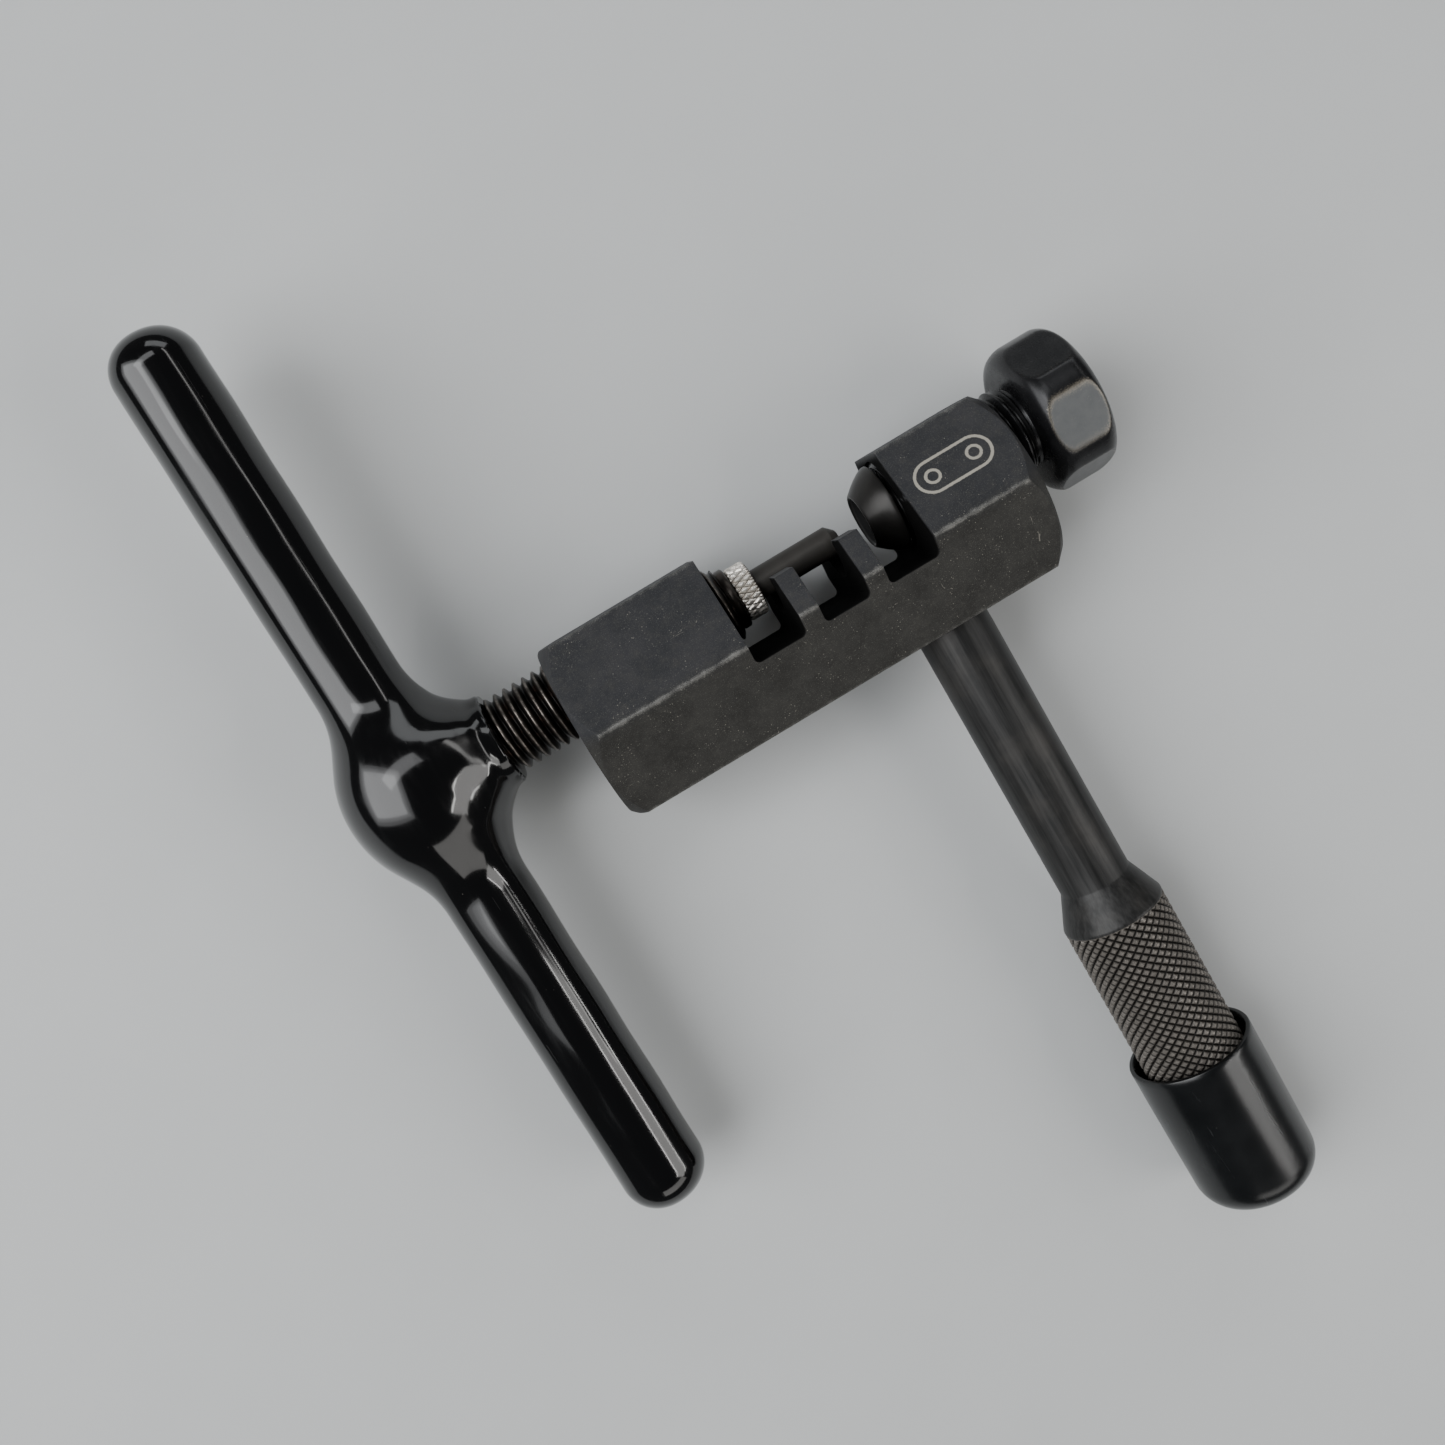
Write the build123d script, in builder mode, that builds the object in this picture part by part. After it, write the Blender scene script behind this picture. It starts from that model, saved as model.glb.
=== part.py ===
"""Bicycle chain tool: hexagonal body, T-handled driver with push pin, adjustable anvil, side lever.

Millimetres. +X runs along the driver axis towards the anvil, +Y points out of the
cradles' mouth and +Z is up. The origin lies on the driver axis, in the middle of the
working cradle wall, where a chain rivet is pushed.
"""

from build123d import *
import os

os.makedirs("parts", exist_ok=True)

# --- body: a hexagonal bar with vertices up and down ---
HEX_FLATS = 19.0  # across flats
AXIS_OFFSET = 4.0  # the driver axis lies this far from the bar's centre, towards the mouth
LEFT_BLOCK = 18.0
RIGHT_BLOCK = 12.1
OUTER_SLOT = 5.7  # beside each block
MIDDLE_SLOT = 5.1  # between the two cradle walls
WALL = 2.05  # a cradle wall fits between a chain's inner plates
SLOT_FLOOR = 6.0  # below the driver axis
SLOT_CORNER = 0.6
TOOTH_TOP = 0.2  # above the driver axis
ROLLER_SEAT = 3.95  # radius
END_CHAMFER = 1.7  # along X, at the hexagon's corners
EDGE_R = 0.35  # along the bar
BORE_MOUTH = 0.25  # countersink

# --- threads and fits ---
DRIVER_D = 8.3
ANVIL_D = 9.8
THREAD_BREAK = 0.4  # chamfer at a thread's end
THREAD_CLEARANCE = 0.05  # radial, driver and anvil threads stand as plain cylinders
RUNNING = 0.05  # radial

# --- driver, its pin and collar ---
HANDLE_X = -48.8  # the cross bar's axis
COATING = 0.8
ARM_D = 9.25  # over the coating
HANDLE_SPAN = 102.6  # over the coating
ARM_END_R = 3.8
HUB_R = 8.3  # over the coating
NECK_D = 9.7  # at its lip
NECK_ROOT_R = 6.7
NECK_TAPER = 5.0  # along X, from the root to the lip
NECK_X = -39.2
SHOULDER_X = -12.6  # end of the driver's full thread
FLANGE_D = 6.6
FLANGE_X = -11.6
SPIGOT_D = 4.3
SPIGOT_X = -10.8
COLLAR_D = 5.9
COLLAR_X = -9.3
COLLAR_LIP = 0.5
COLLAR_EDGE = 0.25
PIN_D = 3.2
PIN_HEAD_D = 4.2
PIN_TIP_X = 0.4
PIN_CHAMFER = 0.9

# --- anvil ---
CUP_X = 3.3
CUP_NOSE_D = 6.0
CUP_BASE_D = 9.5
CUP_CONE = 2.6
CUP_RIM = 0.35
CUP_HOLE_D = 5.0
CUP_HOLE_DEPTH = 5.0
CUP_SHANK = 5.2
CUP_GAP = 0.4  # between the cup's base and the bolt's end
SEAT_GAP = 0.2  # behind the cup's shank
HEAD_X = 22.1
HEAD_FLATS = 15.0
HEAD_LENGTH = 7.0
HEAD_TURN = 12.0  # degrees, the top flat leans this far towards the lever
HEAD_BARREL_D = 16.1  # the hexagon's corners are turned off to it
HEAD_END_R = 1.9

# --- side lever and its cap ---
LEVER_X = 6.1
STUD_D = 6.0
STUD_DEPTH = 6.0
ROD_D = 7.85
ROD_LENGTH = 31.5
CONE_LENGTH = 3.9
GRIP_D = 11.2
GRIP_LENGTH = 31.2
GRIP_EDGE = 1.0
CAP_D = 13.9
CAP_START = 53.0  # from the body's lever face
CAP_LENGTH = 18.6
CAP_END_R = 3.4
CAP_FLOOR_GAP = 0.3
CAP_MOUTH_D = 12.5
CAP_MOUTH_DEPTH = 1.6

# --- places that follow from them ---
work_left, work_right = -WALL / 2, WALL / 2
inner_right = work_left - MIDDLE_SLOT
inner_left = inner_right - WALL
left_face = inner_left - OUTER_SLOT
right_face = work_right + OUTER_SLOT
body_left = left_face - LEFT_BLOCK
body_right = right_face + RIGHT_BLOCK
lever_face = -AXIS_OFFSET - HEX_FLATS / 2
corner_r = HEX_FLATS / 3**0.5
mouth_face = HEX_FLATS / 2 - AXIS_OFFSET


def half_profile(*points):
    """Closed outline through (x, y) points, to be revolved."""
    with BuildSketch(Plane.XY) as profile:
        with BuildLine():
            Polyline(*points, close=True)
        make_face()
    return profile.sketch


def slot_profile(left, right):
    """A slot's section from its rounded floor to beyond the mouth face."""
    with BuildSketch(Plane.XY) as profile:
        with BuildLine():
            FilletPolyline(
                (left, mouth_face + 1),
                (left, -SLOT_FLOOR),
                (right, -SLOT_FLOOR),
                (right, mouth_face + 1),
                radius=SLOT_CORNER,
            )
            Line((right, mouth_face + 1), (left, mouth_face + 1))
        make_face()
    return profile.sketch


with BuildPart() as tool_body:
    with BuildSketch(Plane.YZ.offset(body_left)):
        with Locations((-AXIS_OFFSET, 0)):
            RegularPolygon(HEX_FLATS / 2, 6, major_radius=False, rotation=30)
    extrude(amount=body_right - body_left)
    fillet(edges().filter_by(Axis.X), EDGE_R)
    # both ends are turned to a cone that takes off the hexagon's corners
    turned = half_profile(
        (body_left, -AXIS_OFFSET),
        (body_left, corner_r - END_CHAMFER - AXIS_OFFSET),
        (body_left + END_CHAMFER + 1, corner_r + 1 - AXIS_OFFSET),
        (body_right - END_CHAMFER - 1, corner_r + 1 - AXIS_OFFSET),
        (body_right, corner_r - END_CHAMFER - AXIS_OFFSET),
        (body_right, -AXIS_OFFSET),
    )
    revolve(turned, axis=Axis((0, -AXIS_OFFSET, 0), (1, 0, 0)), mode=Mode.INTERSECT)
    # three slots, straight through from top to bottom
    for left, right in (
        (left_face, inner_left),
        (inner_right, work_left),
        (work_right, right_face),
    ):
        slot = slot_profile(left, right)
        extrude(slot, amount=HEX_FLATS, both=True, mode=Mode.SUBTRACT)
    # the cradle walls are milled down to the driver axis
    with BuildSketch(Plane.XY):
        with Locations(((left_face + right_face) / 2, TOOTH_TOP)):
            Rectangle(
                right_face - left_face,
                HEX_FLATS,
                align=(Align.CENTER, Align.MIN),
            )
    extrude(amount=HEX_FLATS, both=True, mode=Mode.SUBTRACT)
    # roller seats, driver bore and anvil bore share one axis
    for start, end, radius in (
        (left_face, right_face, ROLLER_SEAT),
        (body_left, left_face, DRIVER_D / 2 + THREAD_CLEARANCE),
        (right_face, body_right, ANVIL_D / 2 + THREAD_CLEARANCE),
    ):
        with BuildSketch(Plane.YZ.offset(start)):
            Circle(radius)
        extrude(amount=end - start, mode=Mode.SUBTRACT)
    # countersunk mouths of the two bores
    for end in (body_left, body_right):
        mouth = (
            edges()
            .filter_by(GeomType.CIRCLE)
            .filter_by_position(Axis.X, end - 0.01, end + 0.01)
            .filter_by(lambda edge: abs(edge.arc_center.Y) < 0.01)
        )
        chamfer(mouth, BORE_MOUTH)
    # blind hole for the lever's stud
    with BuildSketch(Plane.XZ.offset(-lever_face)):
        with Locations((LEVER_X, 0)):
            Circle(STUD_D / 2)
    extrude(amount=-STUD_DEPTH, mode=Mode.SUBTRACT)
tool_body.part.label = "tool_body"
export_step(tool_body.part, "parts/tool_body.step")


with BuildPart() as handle_bar:
    with BuildSketch(Plane.XZ.offset(-(HANDLE_SPAN / 2 - COATING))):
        with Locations((HANDLE_X, 0)):
            Circle(ARM_D / 2 - COATING)
    extrude(amount=HANDLE_SPAN - 2 * COATING)
    fillet(edges().filter_by(GeomType.CIRCLE), ARM_END_R - COATING)
handle_bar.part.label = "handle_bar"
export_step(handle_bar.part, "parts/handle_bar.step")

with BuildPart() as driver_screw:
    with Locations((HANDLE_X, 0, 0)):
        Sphere(HUB_R - COATING)
    shaft = half_profile(
        (HANDLE_X, 0),
        (HANDLE_X, DRIVER_D / 2),
        (SHOULDER_X - THREAD_BREAK, DRIVER_D / 2),
        (SHOULDER_X, DRIVER_D / 2 - THREAD_BREAK),
        (SHOULDER_X, FLANGE_D / 2),
        (FLANGE_X, FLANGE_D / 2),
        (FLANGE_X, SPIGOT_D / 2),
        (SPIGOT_X, SPIGOT_D / 2),
        (SPIGOT_X, 0),
    )
    revolve(shaft, axis=Axis.X)
    add(handle_bar.part, mode=Mode.SUBTRACT)
driver_screw.part.label = "driver_screw"
export_step(driver_screw.part, "parts/driver_screw.step")

with BuildPart() as handle_coating:
    with BuildSketch(Plane.XZ.offset(-HANDLE_SPAN / 2)):
        with Locations((HANDLE_X, 0)):
            Circle(ARM_D / 2)
    extrude(amount=HANDLE_SPAN)
    fillet(edges().filter_by(GeomType.CIRCLE), ARM_END_R)
    with Locations((HANDLE_X, 0, 0)):
        Sphere(HUB_R)
    neck = half_profile(
        (HANDLE_X, 0),
        (HANDLE_X, NECK_ROOT_R),
        (NECK_X - NECK_TAPER, NECK_ROOT_R),
        (NECK_X, NECK_D / 2),
        (NECK_X, 0),
    )
    revolve(neck, axis=Axis.X)
    add(handle_bar.part, mode=Mode.SUBTRACT)
    add(driver_screw.part, mode=Mode.SUBTRACT)
handle_coating.part.label = "handle_coating"
export_step(handle_coating.part, "parts/handle_coating.step")

head_left = SPIGOT_X + RUNNING
head_right = COLLAR_X - COLLAR_LIP - RUNNING
with BuildPart() as push_pin:
    outline = half_profile(
        (head_left, 0),
        (head_left, PIN_HEAD_D / 2),
        (head_right, PIN_HEAD_D / 2),
        (head_right, PIN_D / 2),
        (PIN_TIP_X - PIN_CHAMFER, PIN_D / 2),
        (PIN_TIP_X, PIN_D / 2 - PIN_CHAMFER),
        (PIN_TIP_X, 0),
    )
    revolve(outline, axis=Axis.X)
push_pin.part.label = "push_pin"
export_step(push_pin.part, "parts/push_pin.step")

collar_bore = PIN_HEAD_D / 2 + RUNNING
with BuildPart() as pin_collar:
    outline = half_profile(
        (FLANGE_X, collar_bore),
        (FLANGE_X, COLLAR_D / 2 - COLLAR_EDGE),
        (FLANGE_X + COLLAR_EDGE, COLLAR_D / 2),
        (COLLAR_X - COLLAR_EDGE, COLLAR_D / 2),
        (COLLAR_X, COLLAR_D / 2 - COLLAR_EDGE),
        (COLLAR_X, PIN_D / 2 + RUNNING),
        (COLLAR_X - COLLAR_LIP, PIN_D / 2 + RUNNING),
        (COLLAR_X - COLLAR_LIP, collar_bore),
    )
    revolve(outline, axis=Axis.X)
pin_collar.part.label = "pin_collar"
export_step(pin_collar.part, "parts/pin_collar.step")

cup_base = CUP_X + CUP_CONE + CUP_RIM
shank_end = cup_base + CUP_SHANK
shank_r = CUP_NOSE_D / 2
with BuildPart() as anvil_cup:
    outline = half_profile(
        (CUP_X, CUP_HOLE_D / 2),
        (CUP_X, CUP_NOSE_D / 2),
        (CUP_X + CUP_CONE, CUP_BASE_D / 2),
        (cup_base, CUP_BASE_D / 2),
        (cup_base, shank_r),
        (shank_end, shank_r),
        (shank_end, 0),
        (CUP_X + CUP_HOLE_DEPTH, 0),
        (CUP_X + CUP_HOLE_DEPTH, CUP_HOLE_D / 2),
    )
    revolve(outline, axis=Axis.X)
anvil_cup.part.label = "anvil_cup"
export_step(anvil_cup.part, "parts/anvil_cup.step")

bolt_end = cup_base + CUP_GAP
bolt_top = HEAD_X + HEAD_LENGTH
with BuildPart() as anvil_bolt:
    # a barrel with rounded ends, on which six flats are cut
    with BuildSketch(Plane.YZ.offset(HEAD_X)):
        Circle(HEAD_BARREL_D / 2)
    extrude(amount=HEAD_LENGTH)
    fillet(edges().filter_by(GeomType.CIRCLE), HEAD_END_R)
    with BuildSketch(Plane.YZ.offset(HEAD_X)):
        RegularPolygon(HEAD_FLATS / 2, 6, major_radius=False, rotation=HEAD_TURN)
    extrude(amount=HEAD_LENGTH, mode=Mode.INTERSECT)
    outline = half_profile(
        (bolt_end, 0),
        (bolt_end, ANVIL_D / 2 - THREAD_BREAK),
        (bolt_end + THREAD_BREAK, ANVIL_D / 2),
        (HEAD_X, ANVIL_D / 2),
        (HEAD_X, 0),
    )
    revolve(outline, axis=Axis.X)
    # blind seat in which the cup's shank turns
    with BuildSketch(Plane.YZ.offset(bolt_end)):
        Circle(shank_r + RUNNING)
    extrude(amount=shank_end + SEAT_GAP - bolt_end, mode=Mode.SUBTRACT)
anvil_bolt.part.label = "anvil_bolt"
export_step(anvil_bolt.part, "parts/anvil_bolt.step")

rod_end = lever_face - ROD_LENGTH
grip_start = rod_end - CONE_LENGTH
grip_end = grip_start - GRIP_LENGTH
lever_axis = Axis((LEVER_X, 0, 0), (0, 1, 0))
with BuildPart() as side_lever:
    outline = half_profile(
        (LEVER_X, lever_face + STUD_DEPTH),
        (LEVER_X + STUD_D / 2, lever_face + STUD_DEPTH),
        (LEVER_X + STUD_D / 2, lever_face),
        (LEVER_X + ROD_D / 2, lever_face),
        (LEVER_X + ROD_D / 2, rod_end),
        (LEVER_X + GRIP_D / 2, grip_start),
        (LEVER_X + GRIP_D / 2, grip_end + GRIP_EDGE),
        (LEVER_X + GRIP_D / 2 - GRIP_EDGE, grip_end),
        (LEVER_X, grip_end),
    )
    revolve(outline, axis=lever_axis)
side_lever.part.label = "side_lever"
export_step(side_lever.part, "parts/side_lever.step")

cap_mouth = lever_face - CAP_START
cap_end = cap_mouth - CAP_LENGTH
cap_floor = grip_end - CAP_FLOOR_GAP
cap_bore = GRIP_D / 2 + RUNNING
with BuildPart() as lever_cap:
    with BuildSketch(Plane.XZ.offset(-cap_mouth)):
        with Locations((LEVER_X, 0)):
            Circle(CAP_D / 2)
    extrude(amount=CAP_LENGTH)
    fillet(faces().sort_by(Axis.Y)[0].edges(), CAP_END_R)
    for radius, depth in (
        (cap_bore, cap_mouth - cap_floor),
        (CAP_MOUTH_D / 2, CAP_MOUTH_DEPTH),
    ):
        with BuildSketch(Plane.XZ.offset(-cap_mouth)):
            with Locations((LEVER_X, 0)):
                Circle(radius)
        extrude(amount=depth, mode=Mode.SUBTRACT)
lever_cap.part.label = "lever_cap"
export_step(lever_cap.part, "parts/lever_cap.step")
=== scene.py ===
"""Looks of the bicycle chain tool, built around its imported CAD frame. Metres, CAD axes.

+X runs along the driver towards the anvil, +Y out of the cradles' mouth, +Z up.
"""

from math import atan2, cos, pi, radians, sin, sqrt

import bmesh
import bpy
import numpy as np
from mathutils import Matrix, Vector, kdtree


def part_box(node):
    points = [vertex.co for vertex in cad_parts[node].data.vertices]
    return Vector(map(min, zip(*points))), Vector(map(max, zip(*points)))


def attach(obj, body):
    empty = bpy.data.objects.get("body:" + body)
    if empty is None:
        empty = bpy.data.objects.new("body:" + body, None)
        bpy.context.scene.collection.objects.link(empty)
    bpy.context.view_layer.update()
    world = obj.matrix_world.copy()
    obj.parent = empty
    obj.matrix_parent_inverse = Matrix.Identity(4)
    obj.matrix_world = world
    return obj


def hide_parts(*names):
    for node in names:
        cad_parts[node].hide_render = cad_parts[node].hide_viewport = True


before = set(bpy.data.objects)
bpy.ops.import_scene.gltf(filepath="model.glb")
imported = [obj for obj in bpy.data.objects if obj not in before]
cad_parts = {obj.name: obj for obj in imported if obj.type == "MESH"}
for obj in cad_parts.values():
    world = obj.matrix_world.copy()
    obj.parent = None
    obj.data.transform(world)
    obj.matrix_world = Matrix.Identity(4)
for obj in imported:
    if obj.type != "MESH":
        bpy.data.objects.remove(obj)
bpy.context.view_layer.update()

MM = 0.001
PITCH = 1.1 * MM  # of both screw threads

body_lo, body_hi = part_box("tool_body")
driver_lo, driver_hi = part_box("driver_screw")
coat_lo, coat_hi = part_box("handle_coating")
pin_lo, pin_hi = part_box("push_pin")
collar_lo, collar_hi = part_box("pin_collar")
bolt_lo, bolt_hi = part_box("anvil_bolt")
cup_lo, cup_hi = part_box("anvil_cup")
lever_lo, lever_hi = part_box("side_lever")
cap_lo, cap_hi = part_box("lever_cap")

bar_centre_y = (body_lo.y + body_hi.y) / 2
bar_flats = body_hi.y - body_lo.y
handle_x = (driver_lo.x * 2 + (driver_hi.z - driver_lo.z)) / 2
lever_x = (lever_lo.x + lever_hi.x) / 2


# ---------------------------------------------------------------- mesh tools


def mesh_object(name, verts, faces, smooth=True):
    """A new object from vertex and face lists, welded and with its normals outwards."""
    mesh = bpy.data.meshes.new(name)
    mesh.from_pydata([tuple(v) for v in verts], [], faces)
    work = bmesh.new()
    work.from_mesh(mesh)
    bmesh.ops.remove_doubles(work, verts=work.verts, dist=1e-7)
    bmesh.ops.dissolve_degenerate(work, edges=work.edges, dist=1e-8)
    bmesh.ops.recalc_face_normals(work, faces=work.faces)
    work.to_mesh(mesh)
    work.free()
    for polygon in mesh.polygons:
        polygon.use_smooth = smooth
    obj = bpy.data.objects.new(name, mesh)
    bpy.context.scene.collection.objects.link(obj)
    return obj


def sharpen(obj, angle=35):
    """Edges over that angle shade as sharp."""
    bpy.context.view_layer.objects.active = obj
    obj.select_set(True)
    bpy.ops.object.shade_smooth_by_angle(angle=radians(angle))
    obj.select_set(False)


def along_x(along, radius, turn):
    return along, radius * np.cos(turn), radius * np.sin(turn)


def along_lever(along, radius, turn):
    return lever_x + radius * np.cos(turn), along, radius * np.sin(turn)


def turned(name, rows, segments, place, ring=False, height=None):
    """A closed turned piece. rows are (along, radius); height(along, turn) adds to the radius."""
    turn = np.linspace(0, 2 * pi, segments, endpoint=False)
    along = np.array([row[0] for row in rows])[:, None] + 0 * turn
    radius = np.array([row[1] for row in rows])[:, None] + 0 * turn
    if height is not None:
        radius = radius + height(along, radius, turn[None, :] + 0 * along)
    xyz = np.stack(place(along, radius, turn[None, :] + 0 * along), axis=-1)
    verts = xyz.reshape(-1, 3)
    heights = np.round(radius.ravel() / (0.001 * MM))
    faces = []
    count = len(rows)
    for i in range(count if ring else count - 1):
        for j in range(segments):
            after, beside = (i + 1) % count, (j + 1) % segments
            a, b = i * segments + j, after * segments + j
            c, d = after * segments + beside, i * segments + beside
            # the quad is split along a groove that crosses it
            if heights[a] + heights[c] <= heights[b] + heights[d]:
                faces += [(a, b, c), (a, c, d)]
            else:
                faces += [(a, b, d), (b, c, d)]
    if not ring:
        faces.append(tuple(range(segments)))
        faces.append(tuple(range((count - 1) * segments, count * segments)))
    return mesh_object(name, verts, faces)


THREAD_FORM = (
    (0.00, 0.00),
    (0.07, 0.02),
    (0.13, 0.12),
    (0.38, 0.90),
    (0.43, 0.99),
    (0.50, 1.00),
    (0.57, 0.99),
    (0.62, 0.90),
    (0.87, 0.12),
    (0.93, 0.02),
)  # one pitch of a rolled thread as (phase, height)


def threaded_rod(name, start, end, crest, depth, chamfer, bore=0, bore_depth=0, segments=96):
    """A rod along X with a right-hand helical thread, its ends square, and a blind bore if asked."""
    turns = int((end - start) / PITCH) + 3
    per_turn = len(THREAD_FORM)
    rows = []
    for k in range(turns):
        for phase, high in THREAD_FORM:
            rows.append((start - PITCH + (k + phase) * PITCH, high))
    verts = []
    for base, high in rows:
        for j in range(segments):
            turn = 2 * pi * j / segments
            along = base + PITCH * j / segments
            inside = min(max(along, start), end)
            radius = crest - depth * (1 - high)
            if inside != along:
                radius = crest - depth
            reach = min(inside - start, end - inside)
            radius = min(radius, crest - chamfer + reach)
            verts.append((inside, radius * cos(turn), radius * sin(turn)))
    faces = []
    for i in range(len(rows) - 1):
        for j in range(segments):
            beside = j + 1
            shift = 0
            if beside == segments:
                beside, shift = 0, per_turn
            if i + 1 + shift >= len(rows):
                continue
            a, b = i * segments + j, (i + 1) * segments + j
            c, d = (i + 1 + shift) * segments + beside, (i + shift) * segments + beside
            faces.append((a, b, c, d))
    obj = mesh_object(name, verts, faces)
    work = bmesh.new()
    work.from_mesh(obj.data)
    # the rows clamped to an end all fall on its circle, which is then closed
    bmesh.ops.remove_doubles(work, verts=work.verts, dist=2e-6)
    if bore:
        rim = [e for e in work.edges if e.is_boundary and abs(e.verts[0].co.x - start) < 1e-5]
        for radius, along in ((bore, start), (bore, start + bore_depth)):
            made = bmesh.ops.extrude_edge_only(work, edges=rim)["geom"]
            for v in (g for g in made if isinstance(g, bmesh.types.BMVert)):
                across = Vector((0, v.co.y, v.co.z)).normalized() * radius
                v.co = (along, across.y, across.z)
            rim = [g for g in made if isinstance(g, bmesh.types.BMEdge)]
    bmesh.ops.holes_fill(work, edges=[e for e in work.edges if e.is_boundary], sides=0)
    bmesh.ops.recalc_face_normals(work, faces=work.faces)
    work.to_mesh(obj.data)
    work.free()
    return obj


def joined(name, *objects):
    """Several closed shells as one object."""
    whole = bmesh.new()
    for obj in objects:
        whole.from_mesh(obj.data)
        bpy.data.objects.remove(obj)
    mesh = bpy.data.meshes.new(name)
    whole.to_mesh(mesh)
    whole.free()
    obj = bpy.data.objects.new(name, mesh)
    bpy.context.scene.collection.objects.link(obj)
    return obj


# ---------------------------------------------------------------- materials


class Nodes:
    """Short hand for building one material's node tree."""

    def __init__(self, name):
        self.material = bpy.data.materials.new(name)
        self.material.use_nodes = True
        self.tree = self.material.node_tree
        self.shader = self.tree.nodes["Principled BSDF"]
        self.place = self.add("ShaderNodeTexCoord").outputs["Object"]

    def add(self, kind, **settings):
        node = self.tree.nodes.new(kind)
        for key, value in settings.items():
            setattr(node, key, value)
        return node

    def feed(self, socket, value):
        if isinstance(value, bpy.types.NodeSocket):
            self.tree.links.new(value, socket)
        else:
            socket.default_value = value

    def math(self, operation, a, b=0.0, c=0.0, clamp=False):
        node = self.add("ShaderNodeMath", operation=operation, use_clamp=clamp)
        for socket, value in zip(node.inputs, (a, b, c)):
            self.feed(socket, value)
        return node.outputs[0]

    def noise(self, per_mm, detail=3.0, roughness=0.55, stretch=(1, 1, 1), distortion=0.0):
        """Fine noise; per_mm is cells to the millimetre."""
        mapping = self.add("ShaderNodeMapping")
        mapping.inputs["Scale"].default_value = [s * per_mm / MM for s in stretch]
        self.feed(mapping.inputs["Vector"], self.place)
        node = self.add("ShaderNodeTexNoise")
        node.inputs["Scale"].default_value = 1.0
        node.inputs["Detail"].default_value = detail
        node.inputs["Roughness"].default_value = roughness
        node.inputs["Distortion"].default_value = distortion
        self.feed(node.inputs["Vector"], mapping.outputs[0])
        return node.outputs["Fac"]

    def cells(self, per_mm, stretch=(1, 1, 1), feature="F1"):
        mapping = self.add("ShaderNodeMapping")
        mapping.inputs["Scale"].default_value = [s * per_mm / MM for s in stretch]
        self.feed(mapping.inputs["Vector"], self.place)
        node = self.add("ShaderNodeTexVoronoi", feature=feature)
        node.inputs["Scale"].default_value = 1.0
        self.feed(node.inputs["Vector"], mapping.outputs[0])
        return node.outputs["Distance"]

    def band(self, value, low, high):
        """0 below low, 1 above high, smooth between; low may be the larger."""
        node = self.add("ShaderNodeMapRange", interpolation_type="SMOOTHSTEP")
        for key, number in (("From Min", low), ("From Max", high)):
            node.inputs[key].default_value = number
        self.feed(node.inputs["Value"], value)
        return node.outputs[0]

    def blend(self, amount, low, high):
        """Number between low and high."""
        node = self.add("ShaderNodeMapRange")
        self.feed(node.inputs["To Min"], low)
        self.feed(node.inputs["To Max"], high)
        self.feed(node.inputs["Value"], amount)
        return node.outputs[0]

    def tint(self, amount, first, second):
        """Colour between first and second, each a triple or a socket."""
        node = self.add("ShaderNodeMix", data_type="RGBA")
        self.feed(node.inputs[0], amount)
        for socket, colour in ((node.inputs[6], first), (node.inputs[7], second)):
            self.feed(socket, (*colour, 1) if isinstance(colour, tuple) else colour)
        return node.outputs[2]

    def attribute(self, name):
        return self.add("ShaderNodeAttribute", attribute_name=name).outputs["Fac"]

    def axes(self):
        split = self.add("ShaderNodeSeparateXYZ")
        self.feed(split.inputs[0], self.place)
        return split.outputs

    def bump(self, height, strength, distance):
        node = self.add("ShaderNodeBump")
        node.inputs["Strength"].default_value = strength
        node.inputs["Distance"].default_value = distance
        self.feed(node.inputs["Height"], height)
        return node.outputs[0]

    def finish(self, colour, roughness, metallic=0.0, normal=None, **plain):
        self.feed(self.shader.inputs["Base Color"], (*colour, 1) if isinstance(colour, tuple) else colour)
        self.feed(self.shader.inputs["Roughness"], roughness)
        self.feed(self.shader.inputs["Metallic"], metallic)
        if normal is not None:
            self.feed(self.shader.inputs["Normal"], normal)
        for key, value in plain.items():
            self.shader.inputs[key.replace("_", " ")].default_value = value
        return self.material


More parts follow.
